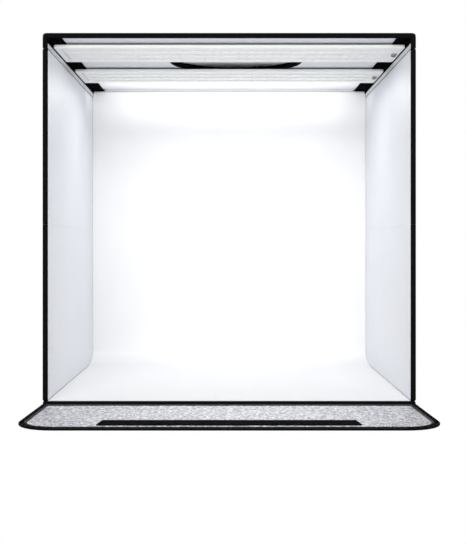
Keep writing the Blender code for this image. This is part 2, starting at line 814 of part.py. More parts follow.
def lead_socket(name, board, y):
    """Oval socket at the right end, where a lead would plug in: an oval rim with a hollow."""
    x = LIGHT_BOARD_HALF - SOCKET_FROM_END
    half_long = SOCKET_LENGTH / 2
    half_wide = SOCKET_WIDTH / 2
    corners = rectangle((-half_wide, -half_long), (half_wide, half_long))
    oval = half_wide - LEAST_ROUND
    rings = []
    profile = [
        (0, 0),
        (0, SOCKET_HEIGHT - SOCKET_EDGE),
        (SOCKET_EDGE, SOCKET_HEIGHT),
        (SOCKET_WALL, SOCKET_HEIGHT),
        (SOCKET_WALL, SOCKET_HEIGHT - SOCKET_DEPTH),
    ]
    for inset, height in profile:
        flat = outline_ring(corners, [oval] * 4, inset, SOCKET_STEPS)
        rings.append([(*point, height) for point in flat])
    top = LIGHT_BOARD_BOTTOM - PLY_GAP
    where = placed((x, y, top), (1, 0, 0), (0, 1, 0), (0, 0, -1))
    piece(name, loft(rings), board, black_plastic(), where)


def light_board(label, board, front):
    """A light board: plate, hook pads for the rails, light strips, solder strip, socket."""
    half = LIGHT_BOARD_DEPTH / 2
    middle = front + half
    low = (-LIGHT_BOARD_HALF, middle - half)
    high = (LIGHT_BOARD_HALF, middle + half)
    slab = plate(
        rectangle(low, high),
        [LIGHT_BOARD_CORNER] * 4,
        LIGHT_BOARD_BOTTOM,
        LIGHT_BOARD_TOP,
        LIGHT_BOARD_EDGE,
        CORNER_STEPS,
        EDGE_STEPS,
    )
    piece(f"{label}_light_board", slab, board, white_board())
    pad_half = half - HOOK_PAD_END_GAP
    pad_level = LIGHT_BOARD_TOP + PLY_GAP
    for side_label, side in (("left", -1), ("right", 1)):
        ends = sorted((side * RAIL_CEILING_X, side * LIGHT_BOARD_HALF))
        pad_low = (ends[0], middle - pad_half)
        pad_high = (ends[1], middle + pad_half)
        pad = strip_of_tape(pad_low, pad_high, pad_level, HOOK_PAD)
        piece(f"{label}_board_{side_label}_hook_pad", pad, board, hook_tape())
    for index in range(STRIP_COUNT):
        y = middle + (index - (STRIP_COUNT - 1) / 2) * STRIP_SPACING
        light_strip(f"{label}_light_strip_{index + 1}", board, y)
    solder_bus(f"{label}_solder_strip", board, front)
    lead_socket(f"{label}_lead_socket", board, middle - SOCKET_FORWARD)


def flap_outline():
    """Closing flap: as wide as the tent at its hinge, a little wider towards its end."""
    end = FLAP_HINGE_Y - FLAP_LENGTH
    wide = HALF_WIDTH + FLAP_FLARE
    return [
        Vector((-wide, end)),
        Vector((wide, end)),
        Vector((HALF_WIDTH, FLAP_HINGE_Y)),
        Vector((-HALF_WIDTH, FLAP_HINGE_Y)),
    ]


def closing_flap(flap):
    """Closing flap: bound cover, pebbled lining and a slanted strip of hook tape."""
    where = placed((0, 0, FLAP_THICKNESS), (1, 0, 0), (0, 1, 0), (0, 0, -1))
    corners = flap_outline()
    radii = [FLAP_CORNER, FLAP_CORNER, PANEL_CORNER, PANEL_CORNER]
    steps = FLAP_CORNER_STEPS
    end_corner = FLAP_CORNER - FLAP_BINDING
    pocket = set_in(corners, [FLAP_BINDING, FLAP_END_BINDING, FLAP_BINDING, FLAP_HINGE_BAND])
    pocket_radii = [end_corner, end_corner, POCKET_CORNER, POCKET_CORNER]
    outer = (corners, radii)
    cover = tray(outer, (pocket, pocket_radii), FLAP_THICKNESS, COVER_SKIN, FLAP_EDGE, steps)
    piece("flap_cover", cover, flap, black_cloth(), where)
    inner = inset_corners(pocket, PLY_GAP)
    inner_radii = [radius - PLY_GAP for radius in pocket_radii]
    lining = plate(inner, inner_radii, 0, FLAP_LINING, TAPE_EDGE, steps)
    piece("flap_lining", lining, flap, pebbled_lining(), where)
    low = FLAP_LINING + PLY_GAP
    high = FLAP_THICKNESS - COVER_SKIN - PLY_GAP
    board = plate(inner, inner_radii, low, high, TAPE_EDGE, steps)
    piece("flap_board", board, flap, stiff_board(), where)
    far = FLAP_HINGE_Y - FLAP_LENGTH + FLAP_HOOK_FROM_END
    near = far + FLAP_HOOK_WIDTH
    half = FLAP_HOOK_LENGTH / 2
    strip = [
        Vector((-half - FLAP_HOOK_SLANT, far)),
        Vector((half + FLAP_HOOK_SLANT, far)),
        Vector((half, near)),
        Vector((-half, near)),
    ]
    level = FLAP_THICKNESS + PLY_GAP
    tape = plate(strip, [TAPE_CORNER] * 4, level, level + TAPE, TAPE_EDGE)
    piece("flap_hook_tape", tape, flap, hook_tape())


def bent_tab(width, where):
    """A tab sewn to the back panel's outside and bent forward round its edge.

    Its own second axis runs along the edge, and its first axis across it. Its gap over
    the edge leaves room for the top, which rises a little as the creased walls pass over
    centre.
    """
    inside = PLY_GAP
    outside = PLY_GAP + TAB_TAPE
    under = TAB_GAP
    over = TAB_GAP + TAB_TAPE
    section = [
        Vector((-TAB_SEAM, inside)),
        Vector((under, inside)),
        Vector((under, -TAB_REACH)),
        Vector((over, -TAB_REACH)),
        Vector((over, outside)),
        Vector((-TAB_SEAM, outside)),
    ]
    radii = [0, TAPE_EDGE, 0, 0, TAB_BEND, 0]
    profile = filleted(section, radii, BEND_STEPS)
    rings = [[(u, v, w) for u, w in profile] for v in (-width / 2, width / 2)]
    mesh = loft(rings)
    mesh.transform(where)
    return mesh


def back_tabs(back):
    """Two tabs on each side of the back panel and one on its top edge."""
    names = ("lower", "upper")
    for label, side in (("left", -1), ("right", 1)):
        for name, share in zip(names, TAB_HEIGHT_SHARES):
            corner = (side * HALF_WIDTH, REAR, share * TENT_HEIGHT)
            where = placed(corner, (side, 0, 0), (0, 0, 1), (0, 1, 0))
            tab = bent_tab(TAB_WIDTH, where)
            piece(f"back_{label}_{name}_tab", tab, back, hook_tape())
    where = placed((0, REAR, TENT_HEIGHT), (0, 0, 1), (1, 0, 0), (0, 1, 0))
    piece("back_top_tab", bent_tab(TAB_WIDTH, where), back, hook_tape())


def closure_loop_tape(back):
    """Loop strip on the back panel's outside, which the flap's hook tape grips when packed."""
    half = CLOSURE_LENGTH / 2
    high = TENT_HEIGHT - CLOSURE_FROM_TOP
    strip = strip_of_tape((-half, high - CLOSURE_WIDTH), (half, high), PLY_GAP, TAPE)
    where = placed((0, REAR, 0), (1, 0, 0), (0, 0, 1), (0, 1, 0))
    piece("back_closure_loop_tape", strip, back, loop_tape(), where)


def build():
    """Makes the bodies, each on its joint's axis, and then their pieces."""
    clear_scene()
    side_x = INSIDE_X - CREASE_STANDOFF
    crease_x = HALF_WIDTH + CREASE_STANDOFF
    base = Body("base", (0, 0, 0))
    left_lower = Body("left_lower", (-side_x, 0, LOWER_AXIS), base)
    left_upper = Body("left_upper", (-crease_x, 0, CREASE), left_lower)
    canopy = Body("canopy", (-side_x, 0, UPPER_AXIS), left_upper)
    right_lower = Body("right_lower", (side_x, 0, LOWER_AXIS), base)
    right_upper = Body("right_upper", (crease_x, 0, CREASE), right_lower)
    back = Body("back", (0, BACK_AXIS_Y, 0), base)
    flap = Body("flap", (0, FLAP_HINGE_Y, FLAP_TOP), base)
    cover = Body("window_cover", (COVER_HINGE_X, WINDOW_Y, COVER_TOP), canopy)
    front_board = Body("front_board", (0, FRONT_BOARD_Y, RAIL_FACE), canopy)
    rear_board = Body("rear_board", (0, REAR_BOARD_Y, RAIL_FACE), canopy)

    floor_panel(base)
    backdrop_sheet(base)
    side_wall("left", -1, left_lower, left_upper)
    side_wall("right", 1, right_lower, right_upper)
    top_panel(canopy)
    window_rim(canopy)
    loop_rails(canopy)
    backdrop_tapes(canopy)
    window_hinge_tape(canopy)
    window_cover(cover)
    light_board("front", front_board, FRONT_BOARD_Y)
    light_board("rear", rear_board, REAR_BOARD_Y)
    back_panel(back)
    back_tabs(back)
    closure_loop_tape(back)
    closing_flap(flap)


build()
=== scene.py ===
"""Looks of the fold-flat light tent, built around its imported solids.

Metres, +Z up. The tent's open front looks towards -Y. Every piece lies where its solid does.
"""

import json
import math

import bpy
import numpy as np
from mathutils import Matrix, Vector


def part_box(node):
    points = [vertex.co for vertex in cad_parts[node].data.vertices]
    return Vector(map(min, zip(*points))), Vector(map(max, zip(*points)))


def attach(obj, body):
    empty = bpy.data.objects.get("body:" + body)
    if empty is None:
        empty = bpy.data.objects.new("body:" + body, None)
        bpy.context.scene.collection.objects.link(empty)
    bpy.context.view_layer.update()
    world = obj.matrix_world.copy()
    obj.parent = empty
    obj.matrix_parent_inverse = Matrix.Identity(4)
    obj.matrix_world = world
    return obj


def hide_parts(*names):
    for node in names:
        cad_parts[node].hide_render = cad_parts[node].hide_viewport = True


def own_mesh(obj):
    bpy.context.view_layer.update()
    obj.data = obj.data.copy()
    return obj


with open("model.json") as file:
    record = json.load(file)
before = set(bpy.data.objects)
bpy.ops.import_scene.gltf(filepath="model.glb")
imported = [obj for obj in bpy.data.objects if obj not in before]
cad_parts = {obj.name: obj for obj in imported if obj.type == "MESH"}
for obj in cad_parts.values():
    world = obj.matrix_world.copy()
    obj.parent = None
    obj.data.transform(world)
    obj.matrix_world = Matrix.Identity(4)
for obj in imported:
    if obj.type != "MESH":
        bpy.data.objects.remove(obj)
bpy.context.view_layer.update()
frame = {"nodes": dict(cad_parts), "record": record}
NODES = frame["nodes"]

# Sizes shared with the solids
HALF_WIDTH = 0.400
PANEL = 0.0100
PANEL_CORNER = 0.0060
BOUND_EDGE = 0.0030
CREASE_GAP = 0.0006
FLAP_END_HALF = 0.4080
FLAP_CORNER = 0.0750
FLAP_BINDING = 0.0180
FLAP_END_BINDING = 0.0110
FLAP_HINGE_BAND = 0.0300
PLY_GAP = 0.0003
WINDOW_RADIUS = 0.1560

# Bound edges and their thread
BINDING_PROUD = 0.0002
BINDING_LEG = 0.0095
FRONT_LEG = 0.0085
WRAP = 0.0012
BINDING_DEPTH = 0.0007
BINDING_ROUND = 0.0030
RIB_PITCH = 0.0011
STITCH_PITCH = 0.0045
STITCH_LENGTH = 0.0030
STITCH_RADIUS = 0.00028
STITCH_INSET = 0.0072

# Relief of the linings
PEBBLE = 0.0070
PEBBLE_RELIEF = 0.0012
PEBBLE_GRID = 0.0022
RIPPLE = 0.00035
RIPPLE_LENGTH = 0.11
WALL_GRID = 0.0060
LINING_PROUD = 0.0005
LINING_START = 0.0080
LINING_STOP = 0.0006
LINING_DEPTH = 0.0025
LIP_SHADOW = 0.0004
LIP_DEPTH = 0.0015
RING_LOWER_LEG = 0.0040

# Swell of the flap's lining
FLAP_SWELL = 0.0006
FLAP_SWELL_LENGTH = 0.16
FLAP_SINK = 0.0003
FLAP_EDGE_DROP = 0.0004
FLAP_EDGE_FADE = 0.006
FLAP_DEPTH_SHARE = 0.8

# Sheet
SHEET_HALF = 0.3892
SHEET_TOP_HALF = 0.3865
SHEET_NARROWS = 0.7700
SHEET_LEVEL = 0.0108
SHEET_FRONT = -0.391
SHEET_Y = 0.334
SWEEP_DEPTH = 0.100
SWEEP_HEIGHT = 0.035
SHEET_TOP = 0.7850
SHEET_BEND = 0.0060
SHEET_TAIL = 0.362
SHEET_THICKNESS = 0.0009
SHEET_WAVE = 0.0006
SHEET_WAVE_LENGTH = 0.34
SHEET_WAVE_SHARE = 0.4
SHEET_WAVE_START = 0.10
SHEET_WAVE_STOP = 0.08

# Light packages
LIGHT_PITCH = 0.0194
PACKAGE_SIDE = 0.0050
PACKAGE_HEIGHT = 0.0011
PACKAGE_CHAMFER = 0.0001
PACKAGE_SHOULDER_SHARE = 0.94
PACKAGE_LIP_SHARE = 0.86
LENS_RADIUS = 0.0018
LENS_SINK = 0.00015
PAD_COUNT = 9
PAD_HALF_LENGTH = 0.0018
PAD_HALF_WIDTH = 0.0036
PAD_HEIGHT = 0.0008
PAD_SINK = 0.0005
PAD_TOP_SHARE = 0.8
PAD_STEP_SHARE = 0.3

# Relief on the underside of the window's cover
COVER_FACE_RADIUS = 0.1535
COVER_FACE_GRID = 0.0018
COVER_RELIEF = 0.00035
COVER_FADE_SHARE = 0.04

# Studio. A lamp is its name, watts, width and length, place, and turns in degrees
FLOOR_REACH = 20.0
FLOOR_COLOUR = (0.85, 0.85, 0.85)
AMBIENT = 0.6
WHITE = (1.0, 1.0, 1.0, 1.0)
LAMPS = (
    ("front_lamp", 76.0, (2.6, 2.0), (-0.3, -3.3, 1.3), (76, 0, -5)),
    ("inside_lamp", 1.15, (0.60, 0.20), (0, 0.02, 0.748), (-8, 0, 0)),
    ("rear_lamp", 0.38, (0.70, 0.05), (0, 0.222, 0.715), (158, 0, 0)),
)

# Camera, from the photograph's frame
IMAGE_WIDTH = 466
IMAGE_HEIGHT = 544
FOCAL_PIXELS = 1027.4
EYE = (0.0003, -2.600, 0.3456)
VANISHING_POINT = (229.4, 245.0)
SENSOR = 36.0


class Finish:
    """A Principled material under construction."""

    def __init__(self, name, colour, roughness, **sockets):
        self.material = bpy.data.materials.new(name)
        self.material.use_nodes = True
        self.tree = self.material.node_tree
        self.shader = self.tree.nodes["Principled BSDF"]
        self.shader.inputs["Base Color"].default_value = (*colour, 1.0)
        self.shader.inputs["Roughness"].default_value = roughness
        for socket, value in sockets.items():
            self.shader.inputs[socket.replace("_", " ")].default_value = value
        self.colour = colour

    def node(self, kind, inputs=None, **settings):
        """Adds a node, with settings as its attributes and inputs as values or links."""
        made = self.tree.nodes.new(kind)
        for name, value in settings.items():
            setattr(made, name, value)
        for name, value in (inputs or {}).items():
            if isinstance(value, bpy.types.NodeSocket):
                self.tree.links.new(value, made.inputs[name])
            else:
                made.inputs[name].default_value = value
        return made

    def place(self):
        """Object coordinates."""
        return self.node("ShaderNodeTexCoord").outputs["Object"]

    def along(self):
        """The piece's own UV map: metres along it and across it."""
        return self.node("ShaderNodeUVMap", uv_map="along").outputs["UV"]

    def math_node(self, operation, first, second=0.0):
        """One Math node."""
        return self.node("ShaderNodeMath", {0: first, 1: second}, operation=operation).outputs[0]

    def noise(self, vector, scale, detail=3.0, roughness=0.55):
        """Noise from 0 to 1."""
        inputs = {"Vector": vector, "Scale": scale, "Detail": detail, "Roughness": roughness}
        return self.node("ShaderNodeTexNoise", inputs).outputs[0]

    def waves(self, vector, pitch):
        """A sine of each coordinate, with the given pitch."""
        parts = self.node("ShaderNodeSeparateXYZ", {0: vector})
        turns = [self.math_node("MULTIPLY", out, 2 * math.pi / pitch) for out in parts.outputs]
        return [self.math_node("SINE", turn) for turn in turns]

    def weave(self, vector, pitch):
        """Crossing threads: sum of the products of the three sines."""
        x, y, z = self.waves(vector, pitch)
        pairs = [self.math_node("MULTIPLY", *pair) for pair in ((x, y), (y, z), (z, x))]
        return self.math_node("ADD", self.math_node("ADD", pairs[0], pairs[1]), pairs[2])

    def tint(self, share, low, high):
        """Varies the colour between two brightnesses."""
        ends = [tuple(channel * level for channel in self.colour) for level in (low, high)]
        mixed = self.node("ShaderNodeMix", data_type="RGBA")
        self.tree.links.new(share, mixed.inputs[0])
        mixed.inputs[6].default_value = (*ends[0], 1.0)
        mixed.inputs[7].default_value = (*ends[1], 1.0)
        self.tree.links.new(mixed.outputs[2], self.shader.inputs["Base Color"])

    def roughen(self, share, low, high):
        """Varies the roughness between two values."""
        inputs = {"Value": share, "To Min": low, "To Max": high}
        mapped = self.node("ShaderNodeMapRange", inputs)
        self.tree.links.new(mapped.outputs[0], self.shader.inputs["Roughness"])

    def bump(self, height, distance, strength=1.0):
        """Adds a bump over the last one."""
        inputs = {"Height": height, "Distance": distance, "Strength": strength}
        made = self.node("ShaderNodeBump", inputs)
        before = self.shader.inputs["Normal"]
        if before.is_linked:
            self.tree.links.new(before.links[0].from_socket, made.inputs["Normal"])
        self.tree.links.new(made.outputs[0], before)
        return self


def coated_cloth():
    """Black coated cloth: plain weave, slightly dusty."""
    made = Finish("coated_cloth", (0.016, 0.016, 0.018), 0.62, Specular_IOR_Level=0.32)
    place = made.place()
    made.tint(made.noise(place, 9.0), 0.7, 1.5)
    made.roughen(made.noise(place, 30.0), 0.48, 0.72)
    made.bump(made.weave(place, 0.0018), 0.0003)
    return made.bump(made.noise(place, 11.0, 3.0), 0.0030, 0.6).material


def ribbed_binding():
    """Black ribbed binding tape: ribs run across it."""
    made = Finish("ribbed_binding", (0.004, 0.004, 0.0045), 0.9, Specular_IOR_Level=0.03)
    rib, fine, _ = made.waves(made.along(), RIB_PITCH)
    made.bump(rib, 0.00012)
    made.bump(fine, 0.00003)
    made.tint(made.noise(made.place(), 25.0), 0.8, 1.5)
    return made.material


def satin_silver():
    """Smooth silver-white reflective cloth."""
    colour = (0.73, 0.745, 0.785)
    made = Finish("satin_silver", colour, 0.45, Metallic=0.15, Sheen_Weight=0.1)
    place = made.place()
    made.tint(made.noise(place, 5.0), 0.96, 1.03)
    made.roughen(made.noise(place, 24.0), 0.36, 0.5)
    made.bump(made.noise(place, 9.0, 2.0), 0.0025, 0.35)
    return made.bump(made.weave(place, 0.0009), 0.00002).material


def pebbled_silver():
    """Silver foil cloth with a pebbled face."""
    made = Finish("pebbled_silver", (0.74, 0.74, 0.78), 0.36, Metallic=0.5)
    place = made.place()
    glints = made.noise(place, 130.0, 4.0, 0.75)
    sharpened = {"Value": glints, "From Min": 0.40, "From Max": 0.60}
    made.tint(made.node("ShaderNodeMapRange", sharpened).outputs[0], 0.42, 1.3)
    made.roughen(made.noise(place, 300.0), 0.25, 0.5)
    made.bump(made.noise(place, 210.0, 2.0), 0.0016, 0.9)
    return made.bump(made.noise(place, 420.0, 3.0), 0.0005, 0.7).material


def pebbled_painted_light():
    """The same cloth on the window's cover, with painted light: its colour is brighter than the
    cloth's own, to make up for the shade that the ring and the rear board cast on it.
    """
    made = Finish("pebbled_painted_light", (0.92, 0.92, 0.93), 0.55)
    place = made.place()
    made.tint(made.noise(place, 160.0, 2.0), 0.75, 1.05)
    return made.bump(made.noise(place, 420.0, 3.0), 0.0003, 0.6).material


def looped_pile():
    """Black loop pile, matt and fuzzy."""
    made = Finish("looped_pile", (0.003, 0.003, 0.0035), 1.0, Specular_IOR_Level=0.0)
    place = made.place()
    made.tint(made.noise(place, 700.0), 0.5, 2.0)
    return made.bump(made.noise(place, 900.0, 4.0), 0.0006).material


def hooked_tape():
    """Black hook tape: a lattice of small hooks."""
    made = Finish("hooked_tape", (0.004, 0.004, 0.0045), 0.95, Specular_IOR_Level=0.01)
    place = made.place()
    made.tint(made.noise(place, 300.0), 0.7, 1.8)
    made.bump(made.weave(place, 0.0030), 0.0002)
    return made.bump(made.noise(place, 900.0), 0.0002, 0.5).material


def grey_webbing():
    """Pale grey tape, softly woven."""
    made = Finish("grey_webbing", (0.88, 0.88, 0.89), 0.9, Sheen_Weight=0.1)
    place = made.place()
    made.tint(made.noise(place, 200.0), 0.85, 1.1)
    return made.bump(made.weave(place, 0.0014), 0.00012).material


def matt_white():
    """Matt white backdrop cloth with a very fine weave."""
    made = Finish("matt_white", (0.90, 0.90, 0.90), 0.88, Sheen_Weight=0.05)
    place = made.place()
    made.tint(made.noise(place, 6.0), 0.985, 1.0)
    return made.bump(made.weave(place, 0.0008), 0.00003).material


def white_plate():
    """Satin white plate of a light board."""
    made = Finish("white_plate", (0.93, 0.94, 0.93), 0.42)
    place = made.place()
    made.roughen(made.noise(place, 60.0), 0.36, 0.5)
    return made.bump(made.noise(place, 1400.0, 2.0), 0.00004).material


def circuit_white():
    """Glossy white of a circuit strip's solder mask and of its light packages."""
    made = Finish("circuit_white", (0.93, 0.94, 0.92), 0.35)
    return made.bump(made.noise(made.place(), 500.0), 0.00003).material


def phosphor():
    """Pale yellow filling of a light package."""
    made = Finish("phosphor", (0.82, 0.78, 0.50), 0.35)
    made.tint(made.noise(made.place(), 900.0), 0.85, 1.08)
    return made.material


def solder():
    """Dull grey solder."""
    made = Finish("solder", (0.50, 0.50, 0.49), 0.35, Metallic=0.9)
    return made.bump(made.noise(made.place(), 900.0), 0.0002).material


def moulded_grey():
    """Fine moulded grey plastic of the lead sockets."""
    made = Finish("moulded_grey", (0.30, 0.30, 0.31), 0.5)
    return made.bump(made.noise(made.place(), 1800.0), 0.00004).material


def board_core():
    """Hollow plastic board, seen at the crease."""
    made = Finish("board_core", (0.5, 0.51, 0.52), 0.6)
    return made.bump(made.waves(made.place(), 0.004)[1], 0.0002).material


def black_thread():
    """Black sewing thread, a little lighter than the tape that it holds."""
    made = Finish("black_thread", (0.05, 0.05, 0.053), 0.5)
    return made.bump(made.noise(made.place(), 2500.0), 0.0001).material


def piece(name, points, faces, materials, body, picks=None, along=None):
    """A smooth-shaded mesh that rides on a body.

    picks gives each face's material, and along each point's place along and across it.
    """
    data = bpy.data.meshes.new(name)
    data.from_pydata(np.asarray(points, float).tolist(), [], faces)
    for material in materials:
        data.materials.append(material)
    if picks is not None:
        data.polygons.foreach_set("material_index", np.asarray(picks, np.int32))
    if along is not None:
        corners = np.empty(len(data.loops), np.int32)
        data.loops.foreach_get("vertex_index", corners)
        data.uv_layers.new(name="along").data.foreach_set("uv", along[corners].ravel())
    data.shade_smooth()
    data.set_sharp_from_angle(angle=math.radians(40))
    made = bpy.data.objects.new(name, data)
    bpy.context.scene.collection.objects.link(made)
    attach(made, body)
    return made


def grid_faces(rows, columns, wrap_rows=False, wrap_columns=False):
    """Quads of a grid of points, joined up where it wraps."""
    row = np.arange(rows if wrap_rows else rows - 1)
    column = np.arange(columns if wrap_columns else columns - 1)
    r, c = np.meshgrid(row, column, indexing="ij")
    below = ((r + 1) % rows) * columns
    beside = (c + 1) % columns
    here = r * columns
    quads = np.stack([here + c, here + beside, below + beside, below + c], -1)
    return quads.reshape(-1, 4).tolist()


def slab(top, down):
    """A closed body under a grid of points: the grid, a skirt, and one flat face below.

    top is rows x columns x 3, and the skirt's lower edge lies at top's edge plus down.
    """
    rows, columns = top.shape[:2]
    index = np.arange(rows * columns).reshape(rows, columns)
    rim = np.concatenate([index[0, :-1], index[:-1, -1], index[-1, :0:-1], index[:0:-1, 0]])
    points = top.reshape(-1, 3)
    lower = points[rim] + down
    start = len(points)
    count = len(rim)
    ring = np.arange(count)
    following = (ring + 1) % count
    skirt = np.stack([rim[following], rim, start + ring, start + following], -1)
    faces = grid_faces(rows, columns) + skirt.tolist()
    faces.append((start + ring[::-1]).tolist()[::-1])
    return np.concatenate([points, lower]), faces


def closed_outward(points, faces):
    """The faces of a closed body turned so that its volume is positive."""
    volume = 0.0
    for face in faces:
        corners = points[face]
        fan = np.cross(corners[1:-1], corners[2:])
        volume += float((fan @ corners[0]).sum())
    return faces if volume > 0 else [face[::-1] for face in faces]


def outline(corners, radii, steps=8):
    """Points of a path through corners, each corner of a radius turned into an arc.

    An arc's points are centre + radius * (cos, sin) of an angle that turns evenly.
    """
    corners = np.asarray(corners, float)
    points = []
    for index, (here, radius) in enumerate(zip(corners, radii)):
        if radius == 0:
            points.append(here[None])
            continue
        back = corners[index - 1] - here
        ahead = corners[(index + 1) % len(corners)] - here
        back /= np.linalg.norm(back)
        ahead /= np.linalg.norm(ahead)
        half = math.acos(float(np.clip(back @ ahead, -1, 1))) / 2
        inward = (back + ahead) / np.linalg.norm(back + ahead)
        centre = here + inward * radius / math.sin(half)
        first = here + back * radius / math.tan(half) - centre
        turn = math.copysign(math.pi - 2 * half, ahead[0] * back[1] - ahead[1] * back[0])
        angles = turn * np.linspace(0, 1, steps + 1)
        cosine, sine = np.cos(angles), np.sin(angles)
        turned = np.stack(
            [first[0] * cosine - first[1] * sine, first[0] * sine + first[1] * cosine], -1
        )
        points.append(centre + turned)
    return np.concatenate(points)


def edge_frames(path, closed):
    """Unit directions along a flat path and outwards from it, which is to its right."""
    if closed:
        ahead = np.roll(path, -1, 0) - path
        behind = path - np.roll(path, 1, 0)
    else:
        steps = np.diff(path, axis=0)
        ahead = np.concatenate([steps, steps[-1:]])
        behind = np.concatenate([steps[:1], steps])
    ahead = ahead / np.linalg.norm(ahead, axis=1)[:, None]
    behind = behind / np.linalg.norm(behind, axis=1)[:, None]
    along = ahead + behind
    along /= np.linalg.norm(along, axis=1)[:, None]
    return along, np.stack([along[:, 1], -along[:, 0]], -1)


def lengths(path):
    """Distance along a path at each of its points."""
    steps = np.linalg.norm(np.diff(path, axis=0), axis=1)
    return np.concatenate([[0], np.cumsum(steps)])


def binding_profile(thickness, outer_leg, inner_leg, proud=BINDING_PROUD):
    """Section of a tape folded over an edge, as (outwards, through) pairs.

    Its outer line is two legs and two quarter rounds, and its inner line lies inside it.
    """
    half = thickness / 2 + proud
    bend = min(BINDING_ROUND, half)
    angles = np.linspace(math.pi / 2, 0, 5)
    upper = np.stack([proud - bend + bend * np.cos(angles), half - bend + bend * np.sin(angles)], -1)
    lower = upper[::-1] * (1, -1)
    first = (min(-outer_leg, upper[0, 0] - BINDING_DEPTH), half)
    last = (min(-inner_leg, lower[-1, 0] - BINDING_DEPTH), -half)
    outer = np.concatenate([[first], upper, lower, [last]])
    inner = outer[::-1] - np.sign(outer[::-1]) * (0, BINDING_DEPTH)
    inner[:, 0] = np.minimum(inner[:, 0], proud - BINDING_DEPTH)
    return np.concatenate([outer, inner])


def swept(path, out, through, profile, closed):
    """A profile carried along a path: path + profile[0] * out + profile[1] * through."""
    points = (
        path[:, None]
        + profile[None, :, :1] * out[:, None]
        + profile[None, :, 1:] * through[:, None]
    )
    rows, columns = points.shape[:2]
    faces = grid_faces(rows, columns, closed, True)
    if not closed:
        faces.append(list(range(columns)))
        faces.append(list(range((rows - 1) * columns, rows * columns))[::-1])
    flat = points.reshape(-1, 3)
    across = lengths(profile)
    u, v = np.meshgrid(lengths(path), across, indexing="ij")
    along = np.stack([u, v], -1).reshape(-1, 2)
    return flat, closed_outward(flat, faces), along


def stitches(path, normal, closed):
    """Small rounded threads laid along a path, half sunk in the cloth.

    Each is a spindle: rings of five points whose radius swells at the middle.
    """
    ends = np.concatenate([path, path[:1]]) if closed else path
    normal_ends = np.concatenate([normal, normal[:1]])[: len(ends)]
    distance = lengths(ends)
    count = int(distance[-1] / STITCH_PITCH)
    at = (np.arange(count) + 0.5) * distance[-1] / count

    def taken(values, where):
        """Values at the path's points, taken at distances along it."""
        return np.stack([np.interp(where, distance, values[:, k]) for k in range(3)], -1)

    centre = taken(ends, at)
    along = taken(ends, at + STITCH_LENGTH / 2) - taken(ends, at - STITCH_LENGTH / 2)
    along /= np.linalg.norm(along, axis=1)[:, None]
    normals = taken(normal_ends, at)
    across = np.cross(along, normals)
    shares = np.array([-0.5, -0.3, 0.3, 0.5])
    swell = np.array([0.3, 1.0, 1.0, 0.3]) * STITCH_RADIUS
    angles = np.arange(5) * 2 * math.pi / 5
    ring_a = swell[:, None] * np.cos(angles)
    ring_b = swell[:, None] * np.sin(angles)
    points = (
        centre[:, None, None]
        + (shares * STITCH_LENGTH)[None, :, None, None] * along[:, None, None]
        + ring_a[None, :, :, None] * across[:, None, None]
        + ring_b[None, :, :, None] * normals[:, None, None]
    ).reshape(-1, 3)
    one = np.array(grid_faces(4, 5, False, True))
    each = len(shares) * len(angles)
    faces = (one[None] + (np.arange(count) * each)[:, None, None]).reshape(-1, 4).tolist()
    for start in range(0, count * each, each):
        faces.append([start + k for k in range(4, -1, -1)])
        faces.append([start + each - 5 + k for k in range(5)])
    return points, faces


def bound_edge(name, body, flat, lift, thickness, closed, legs=(BINDING_LEG, WRAP)):
    """Binding tape folded over a panel's edge, with a line of thread on each wide leg.

    flat is the edge's path in the panel's own plane, and lift takes flat points, flat
    directions and the panel's normal into the world. legs are on its outer and inner face.
    """
    _, out = edge_frames(flat, closed)
    path, outward, through = lift(flat, out)
    profile = binding_profile(thickness, *legs)
    points, faces, uv = swept(path, outward, through, profile, closed)
    piece(f"{name}_binding", points, faces, [BINDING], body, along=uv)
    height = thickness / 2 + BINDING_PROUD
    for label, side, leg in (("outer", 1, legs[0]), ("inner", -1, legs[1])):
        if leg < STITCH_INSET:
            continue
        line = path - outward * STITCH_INSET + through * side * height
        thread, quads = stitches(line, through * side, closed)
        piece(f"{name}_{label}_thread", thread, quads, [THREAD], body)


def lifted(origin, first, second, third):
    """Takes a flat path into the world, in the plane of two directions."""
    origin, first, second, third = (np.asarray(v, float) for v in (origin, first, second, third))

    def lift(flat, out):
        path = origin + flat[:, :1] * first + flat[:, 1:] * second
        outward = out[:, :1] * first + out[:, 1:] * second
        return path, outward, np.broadcast_to(third, path.shape)

    return lift


def front_legs():
    """Black binding on the inner faces beside the open front: flat strips with thread."""
    inner = HALF_WIDTH - PANEL - BINDING_PROUD
    strips = []
    for side_name, side in (("left", -1), ("right", 1)):
        for half in ("lower", "upper"):
            low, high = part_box(f"{side_name}_{half}_cover")
            line = [(side * inner, low.y, z) for z in np.linspace(low.z, high.z, 30)]
            strips.append((f"{side_name}_{half}", line, (-side, 0, 0)))
    low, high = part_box("floor_cover")
    line = [(x, low.y, high.z + BINDING_PROUD) for x in np.linspace(-inner, inner, 50)]
    strips.append(("base", line, (0, 0, 1)))
    for body, line, normal in strips:
        line, normal = np.array(line), np.array(normal, float)
        shares = np.array([WRAP, FRONT_LEG])
        top = line[:, None] + shares[None, :, None] * np.array([0.0, 1.0, 0.0])
        points, faces = slab(top, -normal * BINDING_DEPTH)
        faces = closed_outward(points, faces)
        uv = points[:, :2] if body == "base" else points[:, [2, 1]]
        piece(f"{body}_front_leg", points, faces, [BINDING], body, along=uv)
        seam = line + (0, STITCH_INSET, 0)
        thread, quads = stitches(seam, np.broadcast_to(normal, seam.shape), False)
        piece(f"{body}_front_thread", thread, quads, [THREAD], body)


